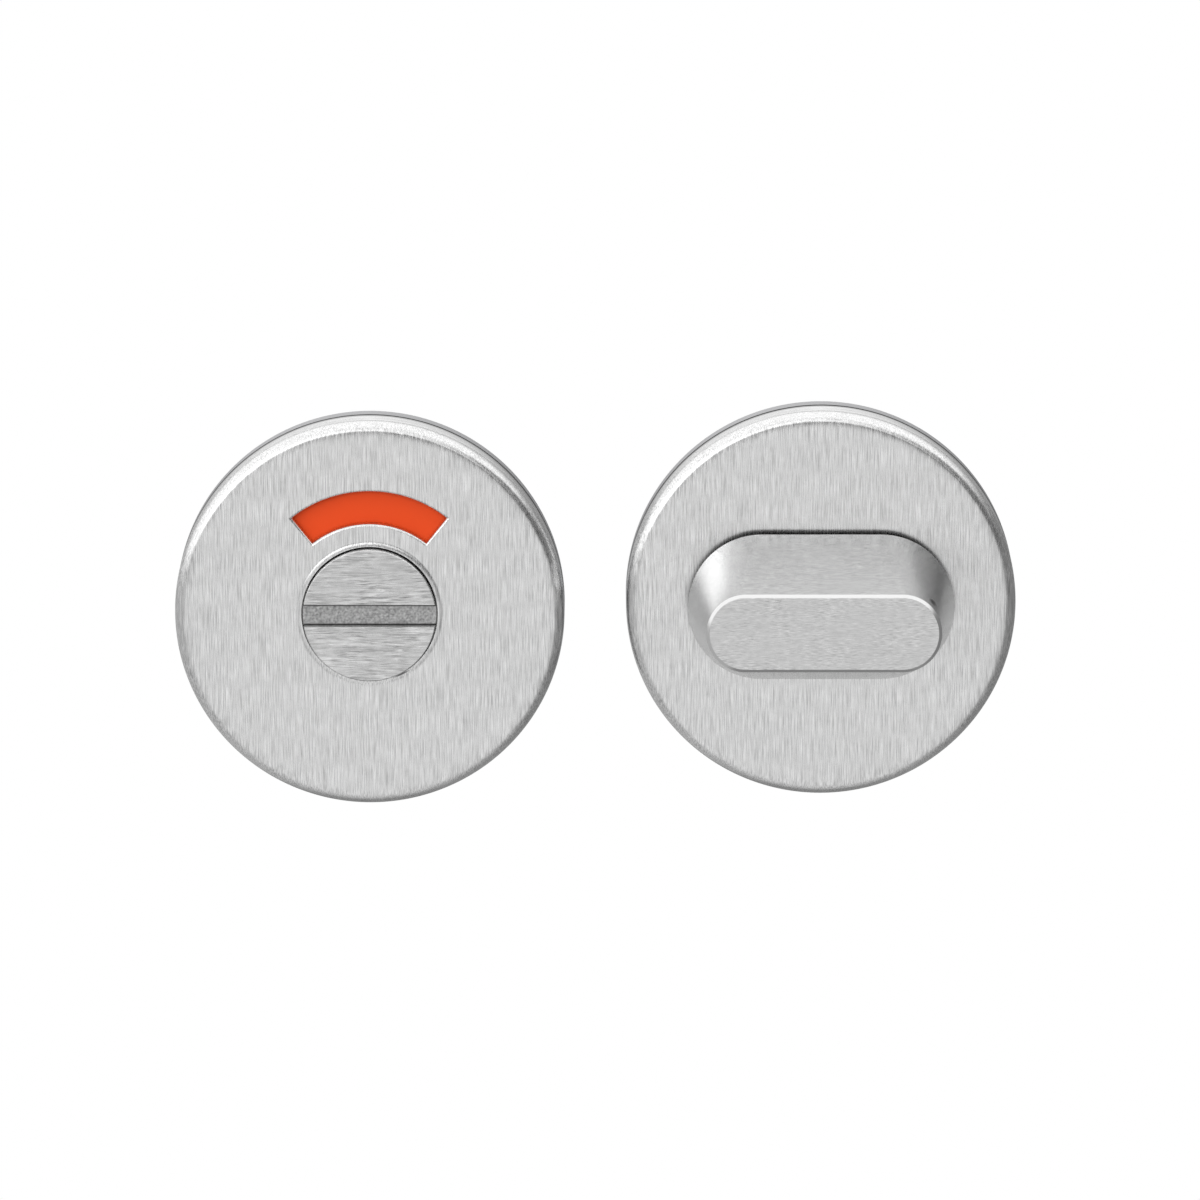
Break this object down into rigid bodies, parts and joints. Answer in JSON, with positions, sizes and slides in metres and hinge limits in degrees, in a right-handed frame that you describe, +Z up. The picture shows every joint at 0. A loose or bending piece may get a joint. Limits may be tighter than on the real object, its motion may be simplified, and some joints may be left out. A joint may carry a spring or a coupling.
{
  "type": "bathroom thumb turn lock",
  "caption": "Round bathroom turn and release set in satin steel: thumb turn rose with spindle, and coin release rose with an indicator window.",
  "frame": {"origin": "where the thumb turn's spindle axis meets the door's face, at the back of the turn half's base", "axes": "+Z up, +Y into the door along the spindle, fronts face -Y; +X runs from the release half to the turn half"},
  "size_m": [0.1122, 0.075, 0.0533],
  "materials": {
    "satin_steel": "satin brushed",
    "die_cast_zinc": "as cast, plated",
    "nylon": "moulded",
    "spring_steel": "oiled dark",
    "plated_steel": "zinc plated",
    "white_plastic": "moulded",
    "red_film": "satin film"
  },
  "bodies": {
    "roses": {"release_cover": "satin_steel", "release_base": "die_cast_zinc", "release_bush": "nylon", "release_clip_ring": "spring_steel", "turn_cover": "satin_steel", "turn_base": "die_cast_zinc", "turn_bush": "nylon", "turn_clip_ring": "spring_steel", "through_bolts": "plated_steel"},
    "turn": {"thumb_turn": "satin_steel", "turn_wave_washer": "spring_steel", "turn_stop_cam": "plated_steel", "turn_circlip": "spring_steel", "spindle": "plated_steel", "spindle_pin": "plated_steel"},
    "release": {"release_head": "satin_steel", "indicator_disc": "white_plastic", "indicator_red_film": "red_film", "release_wave_washer": "spring_steel", "release_stop_cam": "plated_steel", "release_circlip": "spring_steel"}
  },
  "joints": [
    {"name": "turn_rotation", "type": "hinge", "parent": "roses", "child": "turn", "pos_m": [0, 0, 0], "axis": [0, -1, 0], "range_deg": [0, 90]},
    {"name": "release_rotation", "type": "hinge", "parent": "roses", "child": "release", "pos_m": [-0.0602, 0, -0.0013], "axis": [0, -1, 0], "range_deg": [-90, 0]}
  ],
  "couplings": [
    {"joint": "release_rotation", "follows": "turn_rotation", "ratio": -1}
  ]
}
